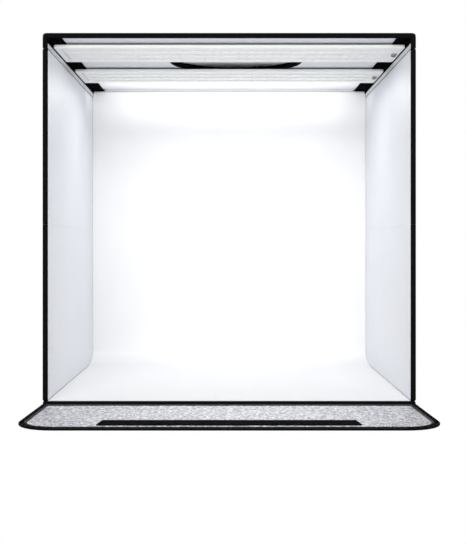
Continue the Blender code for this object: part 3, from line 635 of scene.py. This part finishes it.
def panel_bindings():
    """Bound edges of the flat panels. A creased half is open on its crease's side."""
    corner = PANEL_CORNER
    for name, body in (("floor", "base"), ("back", "back")):
        low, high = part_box(f"{name}_cover")
        across = 2 if name == "back" else 1
        a, b = (low.x, low[across]), (high.x, high[across])
        flat = outline([a, (b[0], a[1]), b, (a[0], b[1])], [corner] * 4)
        middle = (low + high) / 2
        if name == "back":
            lift = lifted((0, middle.y, 0), (1, 0, 0), (0, 0, 1), (0, 1, 0))
        else:
            lift = lifted((0, 0, middle.z), (1, 0, 0), (0, 1, 0), (0, 0, -1))
        bound_edge(name, body, flat, lift, PANEL, True)
    for side_name, side in (("left", -1), ("right", 1)):
        for half in ("lower", "upper"):
            name = f"{side_name}_{half}"
            low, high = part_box(f"{name}_cover")
            middle = (low + high) / 2
            meets = CREASE_GAP / 3
            if half == "lower":
                crease = high.z + meets
                path = [(low.y, crease), (low.y, low.z), (high.y, low.z), (high.y, crease)]
            else:
                crease = low.z - meets
                path = [(high.y, crease), (high.y, high.z), (low.y, high.z), (low.y, crease)]
            flat = outline(path, [0, corner, corner, 0])
            lift = lifted((middle.x, 0, 0), (0, 1, 0), (0, 0, 1), (side, 0, 0))
            bound_edge(name, name, flat, lift, PANEL, False)


def top_bindings():
    """Bound front and rear edges of the top, which follow its channel section."""
    low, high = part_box("top_cover")
    half = PANEL / 2
    mid = HALF_WIDTH - half
    foot = low.z - PLY_GAP / 2
    section = outline(
        [(-mid, foot), (-mid, high.z - half), (mid, high.z - half), (mid, foot)],
        [0, half, half, 0],
    )
    along, _ = edge_frames(section, False)
    through = np.stack([-along[:, 1], 0 * along[:, 0], along[:, 0]], -1)
    for label, y, side in (("front", low.y, -1), ("rear", high.y, 1)):
        path = np.stack([section[:, 0], np.full(len(section), y), section[:, 1]], -1)
        out = np.broadcast_to((0.0, float(side), 0.0), path.shape)
        inner_leg = FRONT_LEG if label == "front" else WRAP
        profile = binding_profile(PANEL, BINDING_LEG, inner_leg)
        points, faces, uv = swept(path, out, through, profile, False)
        piece(f"top_{label}_binding", points, faces, [BINDING], "canopy", along=uv)
        line = path - out * STITCH_INSET + through * (half + BINDING_PROUD)
        thread, quads = stitches(line, through, False)
        piece(f"top_{label}_thread", thread, quads, [THREAD], "canopy")


def jitter(i, j, seed):
    """A steady pseudo-random number from 0 to 1 for each cell of a grid."""
    value = np.sin(i * 127.1 + j * 311.7 + seed * 74.7) * 43758.5453
    return value - np.floor(value)


def pebbles(x, y, size, seed=1.0):
    """Height from 0 to 1 of crowded pebbles.

    It grows with how much nearer the nearest cell centre is than the second nearest.
    """
    u, v = x / size, y / size
    i, j = np.floor(u), np.floor(v)
    nearest = np.full(x.shape, 9.0)
    second = np.full(x.shape, 9.0)
    for di in (-1, 0, 1):
        for dj in (-1, 0, 1):
            ci, cj = i + di, j + dj
            du = ci + jitter(ci, cj, seed) - u
            dv = cj + jitter(ci, cj, seed + 5) - v
            away = np.hypot(du, dv)
            second = np.minimum(second, np.maximum(nearest, away))
            nearest = np.minimum(nearest, away)
    return np.sqrt(np.clip((second - nearest) * 1.6, 0, 1))


def ripples(x, y, length, seed):
    """Soft ripples from -1 to 1: three sines with unlike directions and phases."""
    total = np.zeros(x.shape)
    for k, (turn, stretch) in enumerate(((0.4, 1.0), (1.7, 0.63), (2.6, 0.41))):
        across = x * math.cos(turn + seed) + y * math.sin(turn + seed)
        total += np.sin(2 * math.pi * across / (length * stretch) + seed * (k + 2))
    return total / 3


def wall_linings():
    """Silver linings of the side walls, carried over the covers' hems.

    A grid stands a little before the wall's inner face. Ripples that die at its edges press
    it down, it rounds over by r - sqrt(r^2 - d^2) near a bound edge of radius r, and the
    halves meet at the crease.
    """
    for side_name, side in (("left", -1), ("right", 1)):
        for seed, half in enumerate(("lower", "upper")):
            node = f"{side_name}_{half}_lining"
            low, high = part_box(f"{side_name}_{half}_cover")
            inner = low.x if side > 0 else high.x
            meets = CREASE_GAP / 3
            bound, crease = (low.z, high.z + meets) if half == "lower" else (high.z, low.z - meets)
            stop = LINING_STOP if half == "lower" else -LINING_STOP
            even = np.linspace(low.y + LINING_START, high.y - 2 * BOUND_EDGE, 60)
            y = np.concatenate([even, high.y - np.linspace(BOUND_EDGE, LINING_STOP, 6)])
            round_over = bound + np.linspace(1, BOUND_EDGE / LINING_STOP, 6) * stop
            rest = np.linspace(bound + 2 * math.copysign(BOUND_EDGE, stop), crease, 60)
            z = np.concatenate([round_over, rest])
            yy, zz = np.meshgrid(y, z, indexing="ij")
            away = np.minimum(high.y - yy, np.abs(zz - bound))
            into = np.clip(BOUND_EDGE - away, 0, BOUND_EDGE)
            drop = BOUND_EDGE - np.sqrt(BOUND_EDGE**2 - into**2)
            edge = np.minimum(np.minimum(yy - y[0], away), np.abs(zz - crease))
            fade = np.clip(edge / (4 * WALL_GRID), 0, 1)
            sunk = RIPPLE * (1 + ripples(yy, zz, RIPPLE_LENGTH, seed + side)) / 2 * fade
            xx = inner + side * (drop + sunk - LINING_PROUD)
            top = np.stack([xx, yy, zz], -1)
            points, faces = slab(top, np.array((side * LINING_DEPTH, 0, 0)))
            made = piece(
                f"{side_name}_{half}_satin",
                points,
                closed_outward(points, faces),
                [SATIN],
                f"{side_name}_{half}",
            )
            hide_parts(node)


def lip_linings():
    """Silver strips on the inner faces of the top's lips, below the loop rails."""
    low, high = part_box("top_cover")
    for side_name, side in (("left", -1), ("right", 1)):
        rail_low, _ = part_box(f"{side_name}_loop_rail")
        y = np.linspace(low.y + LINING_START, high.y - BOUND_EDGE, 40)
        z = np.linspace(low.z + LINING_STOP, rail_low.z - LIP_SHADOW, 3)
        yy, zz = np.meshgrid(y, z, indexing="ij")
        inner = side * (HALF_WIDTH - PANEL - LINING_PROUD)
        top = np.stack([np.full(yy.shape, inner), yy, zz], -1)
        points, faces = slab(top, np.array((side * LIP_DEPTH, 0, 0)))
        faces = closed_outward(points, faces)
        piece(f"{side_name}_lip_satin", points, faces, [SATIN], "canopy")


def flap_half_width(y, y_end, y_hinge, inset, end_inset):
    """Half the flap's width at a depth: a straight flare, less its round end corners."""
    share = (y_hinge - y) / (y_hinge - y_end)
    wide = HALF_WIDTH + (FLAP_END_HALF - HALF_WIDTH) * share - inset
    radius = FLAP_CORNER - inset
    into = np.clip(radius - (y - y_end - end_inset), 0, radius)
    return wide - (radius - np.sqrt(radius**2 - into**2))


def flap_lining():
    """Pebbled lining of the flap: a grid whose rows follow the flap's outline."""
    low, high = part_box("flap_cover")
    lining_low, lining_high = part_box("flap_lining")
    inset = FLAP_BINDING + PLY_GAP
    end_inset = FLAP_END_BINDING + PLY_GAP
    y_end, y_hinge = low.y, high.y
    first, last = y_end + end_inset, y_hinge - FLAP_HINGE_BAND - PLY_GAP
    rows = np.linspace(first, last, round((last - first) / PEBBLE_GRID))
    half = flap_half_width(rows, y_end, y_hinge, inset, end_inset)
    columns = round(2 * HALF_WIDTH / PEBBLE_GRID)
    xx = np.linspace(-1, 1, columns)[None] * half[:, None]
    yy = np.broadcast_to(rows[:, None], xx.shape)
    height = PEBBLE_RELIEF * pebbles(xx, yy, PEBBLE)
    swell = FLAP_SWELL * (1 + ripples(xx, yy, FLAP_SWELL_LENGTH, 0.7)) / 2
    zz = lining_high.z - FLAP_SINK + height + swell - PEBBLE_RELIEF / 2
    edge = np.minimum(np.minimum(yy - rows[0], rows[-1] - yy), half[:, None] - np.abs(xx))
    zz = zz - FLAP_EDGE_DROP * (1 - np.clip(edge / FLAP_EDGE_FADE, 0, 1))
    top = np.stack([xx, yy, zz], -1)
    points, faces = slab(top, np.array((0, 0, -(lining_high.z - lining_low.z) * FLAP_DEPTH_SHARE)))
    faces = closed_outward(points, faces)
    made = piece("flap_pebbled_face", points, faces, [PEBBLED], "flap")
    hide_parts("flap_lining")


def flap_binding():
    """Wide bound edge of the flap, round its end corners."""
    low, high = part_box("flap_cover")
    corners = [
        (-FLAP_END_HALF, low.y),
        (FLAP_END_HALF, low.y),
        (HALF_WIDTH, high.y),
        (-HALF_WIDTH, high.y),
    ]
    flat = outline(corners, [FLAP_CORNER, FLAP_CORNER, PANEL_CORNER, PANEL_CORNER], 16)
    lift = lifted((0, 0, (low.z + high.z) / 2), (1, 0, 0), (0, 1, 0), (0, 0, -1))
    legs = (FLAP_END_BINDING, FLAP_END_BINDING)
    bound_edge("flap", "flap", flat, lift, high.z - low.z - 2 * BINDING_PROUD, True, legs)


def window_ring():
    """Binding tape round the window's edge: a C-section turned about the window's axis."""
    low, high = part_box("window_rim")
    centre = (low + high) / 2
    leg = (high.x - low.x) / 2 - WINDOW_RADIUS
    steps = 128
    turn = np.arange(steps) * 2 * math.pi / steps
    flat = np.stack([np.cos(turn), np.sin(turn)], -1) * WINDOW_RADIUS
    path = np.stack([centre.x + flat[:, 0], centre.y + flat[:, 1], np.full(steps, centre.z)], -1)
    out = -np.stack([np.cos(turn), np.sin(turn), 0 * turn], -1)
    through = np.broadcast_to((0.0, 0.0, 1.0), path.shape)
    profile = binding_profile(high.z - low.z, leg, RING_LOWER_LEG, 0.0)
    points, faces, uv = swept(path, out, through, profile, True)
    made = piece("window_ring", points, faces, [BINDING], "canopy", along=uv)
    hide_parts("window_rim")


def plate_box(low, high, bottom):
    """Corners and faces of a box that ends at a strip's top and starts at a given height."""
    sides = ((low.x, low.y), (high.x, low.y), (high.x, high.y), (low.x, high.y))
    corners = np.array([[x, y, z] for z in (bottom, high.z) for x, y in sides])
    faces = [[0, 3, 2, 1], [4, 5, 6, 7], [0, 1, 5, 4], [1, 2, 6, 5], [2, 3, 7, 6], [3, 0, 4, 7]]
    return corners, faces


def light_package(bottom, lowest):
    """One light package about the Z axis: its points, faces, and each face's material.

    It is square rings of eight points that narrow downwards, and a sunk round filling.
    """
    turn = np.arange(8) * math.pi / 4 + math.pi / 8
    circle = np.stack([np.cos(turn), np.sin(turn)], -1)
    square = circle / np.abs(circle).max(1)[:, None] * PACKAGE_SIDE / 2
    rings = [
        (square, bottom + PACKAGE_CHAMFER),
        (square * PACKAGE_SHOULDER_SHARE, lowest + PACKAGE_CHAMFER),
        (square * PACKAGE_LIP_SHARE, lowest),
        (circle * LENS_RADIUS, lowest + LENS_SINK),
    ]
    points = [np.column_stack([flat, np.full(8, z)]) for flat, z in rings]
    points.append([[0, 0, lowest + PACKAGE_CHAMFER]])
    faces = grid_faces(4, 8, False, True)
    faces += [[24 + k, 24 + (k + 1) % 8, 32] for k in range(8)]
    faces.append(list(range(8))[::-1])
    return np.concatenate(points), faces, [0] * 24 + [1] * 8 + [0]


def light_rows():
    """Circuit strips with their packages: white housings with a round yellow filling."""
    for board in ("front", "rear"):
        for number in (1, 2, 3):
            node = f"{board}_light_strip_{number}"
            low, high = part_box(node)
            bottom = low.z + PACKAGE_HEIGHT
            middle = (low + high) / 2
            count = int((high.x - low.x - PACKAGE_SIDE) / LIGHT_PITCH) + 1
            places = middle.x + (np.arange(count) - (count - 1) / 2) * LIGHT_PITCH
            package, package_faces, package_picks = light_package(bottom, low.z)
            corners, faces = plate_box(low, high, bottom)
            points = [corners]
            picks = [0] * len(faces)
            for place in places:
                base = sum(len(part) for part in points)
                points.append(package + (place, middle.y, 0))
                faces += [[index + base for index in face] for face in package_faces]
                picks += package_picks
            made = piece(
                f"{board}_lights_{number}",
                np.concatenate(points),
                faces,
                [CIRCUIT, PHOSPHOR],
                f"{board}_board",
                picks,
            )
            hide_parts(node)


def solder_rows():
    """White strips with solder pads: a box, and domed pads of two rings and a point."""
    turn = np.arange(10) * math.pi / 5
    oval = np.stack([PAD_HALF_WIDTH * np.cos(turn), PAD_HALF_LENGTH * np.sin(turn)], -1)
    pad = grid_faces(2, 10, False, True)
    pad += [[10 + k, 10 + (k + 1) % 10, 20] for k in range(10)]
    pad.append(list(range(10))[::-1])
    for board in ("front", "rear"):
        node = f"{board}_solder_strip"
        low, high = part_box(node)
        bottom = low.z + PAD_HEIGHT
        corners, faces = plate_box(low, high, bottom)
        points = [corners]
        picks = [0] * len(faces)
        middle = (low + high) / 2
        pitch = (high.y - low.y) / PAD_COUNT
        rings = [
            (oval, bottom + PAD_SINK),
            (oval * PAD_TOP_SHARE, low.z + PAD_HEIGHT * PAD_STEP_SHARE),
        ]
        for number in range(PAD_COUNT):
            base = sum(len(part) for part in points)
            place = (middle.x, low.y + (number + 0.5) * pitch)
            dome = [np.column_stack([flat + place, np.full(10, z)]) for flat, z in rings]
            points += [*dome, np.array([(*place, low.z)])]
            faces += [[index + base for index in face] for face in pad]
            picks += [1] * len(pad)
        made = piece(
            f"{board}_solder_row",
            np.concatenate(points),
            faces,
            [CIRCUIT, SOLDER],
            f"{board}_board",
            picks,
        )
        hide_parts(node)


def cover_face():
    """Pebbled face of the window cover's lining, within the window's ring.

    A square grid is mapped on a disc by x = u sqrt(1 - v^2 / 2), y = v sqrt(1 - u^2 / 2).
    """
    low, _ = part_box("window_cover_lining")
    ring_low, ring_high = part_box("window_rim")
    centre = (ring_low + ring_high) / 2
    count = round(2 * COVER_FACE_RADIUS / COVER_FACE_GRID)
    u, v = np.meshgrid(np.linspace(-1, 1, count), np.linspace(-1, 1, count), indexing="ij")
    xx = centre.x + COVER_FACE_RADIUS * u * np.sqrt(1 - v**2 / 2)
    yy = centre.y + COVER_FACE_RADIUS * v * np.sqrt(1 - u**2 / 2)
    fade = np.clip((1 - np.maximum(np.abs(u), np.abs(v))) / COVER_FADE_SHARE, 0, 1)
    zz = low.z - PLY_GAP / 2 - COVER_RELIEF * pebbles(xx, yy, PEBBLE, 3.0) * fade
    points, faces = slab(np.stack([xx, yy, zz], -1), np.array((0, 0, PLY_GAP)))
    faces = closed_outward(points, faces)
    # The face takes the painted-light copy of the pebbled cloth, brighter than its own colour to
    # make up for its shade
    piece("window_cover_pebbled_face", points, faces, [PEBBLED_PAINTED_LIGHT], "window_cover")


def backdrop():
    """White sheet: its route is the floor, a quarter ellipse, a straight rise and a bend.

    Across the route it is a closed band of its own thickness, with soft waves that grow
    on the rise and vanish where it is held.
    """
    level, top = SHEET_LEVEL, SHEET_TOP
    floor = np.linspace(SHEET_FRONT, SHEET_Y - SWEEP_DEPTH, 60)[:-1]
    angle = np.linspace(0, math.pi / 2, 28)
    sweep_y = SHEET_Y - SWEEP_DEPTH * (1 - np.sin(angle))
    sweep_z = level + SWEEP_HEIGHT * (1 - np.cos(angle))
    rise = np.linspace(level + SWEEP_HEIGHT, top - SHEET_BEND, 70)[1:-1]
    bend_y = SHEET_Y + SHEET_BEND * (1 - np.cos(angle[::4]))
    bend_z = top - SHEET_BEND * (1 - np.sin(angle[::4]))
    y = np.concatenate([floor, sweep_y, np.full(len(rise), SHEET_Y), bend_y, [SHEET_TAIL]])
    z = np.concatenate([np.full(len(floor), level), sweep_z, rise, bend_z, [top]])
    route = np.stack([y, z], -1)
    _, out = edge_frames(route, False)
    inward = -out
    grown = np.clip((z - level - SWEEP_HEIGHT) / SHEET_WAVE_START, 0, 1)
    held = grown * np.clip((top - z) / SHEET_WAVE_STOP, 0, 1)
    yy, shares = np.meshgrid(lengths(route), np.linspace(-1, 1, 97), indexing="ij")
    narrowed = np.clip((z - SHEET_NARROWS) / (BINDING_LEG / 2), 0, 1)
    xx = shares * (SHEET_HALF + (SHEET_TOP_HALF - SHEET_HALF) * narrowed)[:, None]
    wave = SHEET_WAVE * held[:, None] * ripples(xx, yy * SHEET_WAVE_SHARE, SHEET_WAVE_LENGTH, 2.1)
    half = SHEET_THICKNESS / 2
    sides = []
    for side in (half, -half):
        place = route[:, None] + inward[:, None] * (wave + side)[..., None]
        sides.append(np.concatenate([xx[..., None], place], -1))
    rows, columns = xx.shape
    front, behind = sides
    points = np.concatenate([front.reshape(-1, 3), behind.reshape(-1, 3)])
    count = rows * columns
    faces = grid_faces(rows, columns)
    faces += [[index + count for index in face][::-1] for face in grid_faces(rows, columns)]
    index = np.arange(count).reshape(rows, columns)
    rim = np.concatenate([index[0, :-1], index[:-1, -1], index[-1, :0:-1], index[:0:-1, 0]])
    following = np.roll(rim, -1)
    faces += np.stack([following, rim, rim + count, following + count], -1).tolist()
    faces = closed_outward(points, faces)
    made = piece("backdrop_cloth", points, faces, [SHEET_CLOTH], "base")
    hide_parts("backdrop_sheet")
    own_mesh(made)


def finishes():
    """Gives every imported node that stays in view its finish."""
    by_slot = {
        "black_cloth": CLOTH,
        "stiff_board": CORE,
        "silver_lining": SATIN,
        "pebbled_lining": PEBBLED,
        "loop_tape": PILE,
        "hook_tape": HOOKS,
        "grey_tape": WEBBING,
        "white_sheet": SHEET_CLOTH,
        "white_board": PLATE,
        "circuit_strip": CIRCUIT,
        "solder_strip": SOLDER,
        "black_plastic": SOCKET,
    }
    for row in frame["record"]["subparts"]:
        data = NODES[row["node"]].data
        data.materials.clear()
        data.materials.append(by_slot[row["material_slot"]])


def seen_white(name, colour):
    """A floor that lights like a plain surface and shows white to the camera."""
    made = bpy.data.materials.new(name)
    made.use_nodes = True
    tree = made.node_tree
    tree.nodes.clear()
    path = tree.nodes.new("ShaderNodeLightPath")
    seen = tree.nodes.new("ShaderNodeMath")
    seen.operation = "MAXIMUM"
    tree.links.new(path.outputs["Is Camera Ray"], seen.inputs[0])
    tree.links.new(path.outputs["Is Glossy Ray"], seen.inputs[1])
    all_seen = tree.nodes.new("ShaderNodeMath")
    all_seen.operation = "MAXIMUM"
    tree.links.new(seen.outputs[0], all_seen.inputs[0])
    tree.links.new(path.outputs["Is Transmission Ray"], all_seen.inputs[1])
    plain = tree.nodes.new("ShaderNodeBsdfDiffuse")
    plain.inputs["Color"].default_value = (*colour, 1.0)
    glow = tree.nodes.new("ShaderNodeEmission")
    mix = tree.nodes.new("ShaderNodeMixShader")
    tree.links.new(all_seen.outputs[0], mix.inputs[0])
    tree.links.new(plain.outputs[0], mix.inputs[1])
    tree.links.new(glow.outputs[0], mix.inputs[2])
    out = tree.nodes.new("ShaderNodeOutputMaterial")
    tree.links.new(mix.outputs[0], out.inputs["Surface"])
    return made


def studio():
    """Pale floor, white surroundings, and one large soft lamp near the camera.

    Two small lamps in the tent stand in for its boards' light: one shines down, and one
    up at the rear of the ceiling.
    """
    reach = FLOOR_REACH
    corners = ((-reach, -reach), (reach, -reach), (reach, reach), (-reach, reach))
    data = bpy.data.meshes.new("studio_floor")
    data.from_pydata([(x, y, -PLY_GAP) for x, y in corners], [], [(0, 1, 2, 3)])
    data.materials.append(seen_white("studio_floor", FLOOR_COLOUR))
    floor = bpy.data.objects.new("studio_floor", data)
    bpy.context.scene.collection.objects.link(floor)
    world = bpy.data.worlds.new("studio")
    bpy.context.scene.world = world
    world.use_nodes = True
    tree = world.node_tree
    tree.nodes.clear()
    path = tree.nodes.new("ShaderNodeLightPath")
    light = tree.nodes.new("ShaderNodeBackground")
    light.inputs["Strength"].default_value = AMBIENT
    light.inputs["Color"].default_value = WHITE
    seen = tree.nodes.new("ShaderNodeBackground")
    seen.inputs["Color"].default_value = WHITE
    mix = tree.nodes.new("ShaderNodeMixShader")
    tree.links.new(path.outputs["Is Camera Ray"], mix.inputs[0])
    tree.links.new(light.outputs[0], mix.inputs[1])
    tree.links.new(seen.outputs[0], mix.inputs[2])
    out = tree.nodes.new("ShaderNodeOutputWorld")
    tree.links.new(mix.outputs[0], out.inputs["Surface"])
    for lamp in LAMPS:
        soft_lamp(*lamp)


def soft_lamp(name, energy, size, place, turns):
    """A rectangular lamp that the camera itself doesn't see."""
    lamp = bpy.data.lights.new(name, "AREA")
    lamp.shape = "RECTANGLE"
    lamp.size, lamp.size_y = size
    lamp.energy = energy
    holder = bpy.data.objects.new(name, lamp)
    holder.location = place
    holder.rotation_euler = [math.radians(turn) for turn in turns]
    holder.visible_camera = False
    bpy.context.scene.collection.objects.link(holder)


def camera():
    """Level camera that looks along +Y, shifted so that its eye line meets the vanishing point."""
    data = bpy.data.cameras.new("camera")
    data.sensor_width = SENSOR
    data.lens = SENSOR * FOCAL_PIXELS / IMAGE_HEIGHT
    data.shift_x = (IMAGE_WIDTH / 2 - VANISHING_POINT[0]) / IMAGE_HEIGHT
    data.shift_y = -(IMAGE_HEIGHT / 2 - VANISHING_POINT[1]) / IMAGE_HEIGHT
    made = bpy.data.objects.new("camera", data)
    made.location = EYE
    made.rotation_euler = (math.pi / 2, 0, 0)
    bpy.context.scene.collection.objects.link(made)
    bpy.context.scene.camera = made


CLOTH = coated_cloth()
BINDING = ribbed_binding()
SATIN = satin_silver()
PEBBLED = pebbled_silver()
# Painted-light copy of the pebbled cloth, brighter to make up for shade on the window's cover
PEBBLED_PAINTED_LIGHT = pebbled_painted_light()
PILE = looped_pile()
HOOKS = hooked_tape()
WEBBING = grey_webbing()
SHEET_CLOTH = matt_white()
PLATE = white_plate()
CIRCUIT = circuit_white()
PHOSPHOR = phosphor()
SOLDER = solder()
SOCKET = moulded_grey()
CORE = board_core()
THREAD = black_thread()

bpy.context.scene.view_settings.view_transform = "Standard"
camera()
studio()
finishes()
panel_bindings()
front_legs()
top_bindings()
wall_linings()
lip_linings()
flap_lining()
flap_binding()
window_ring()
light_rows()
solder_rows()
cover_face()
backdrop()
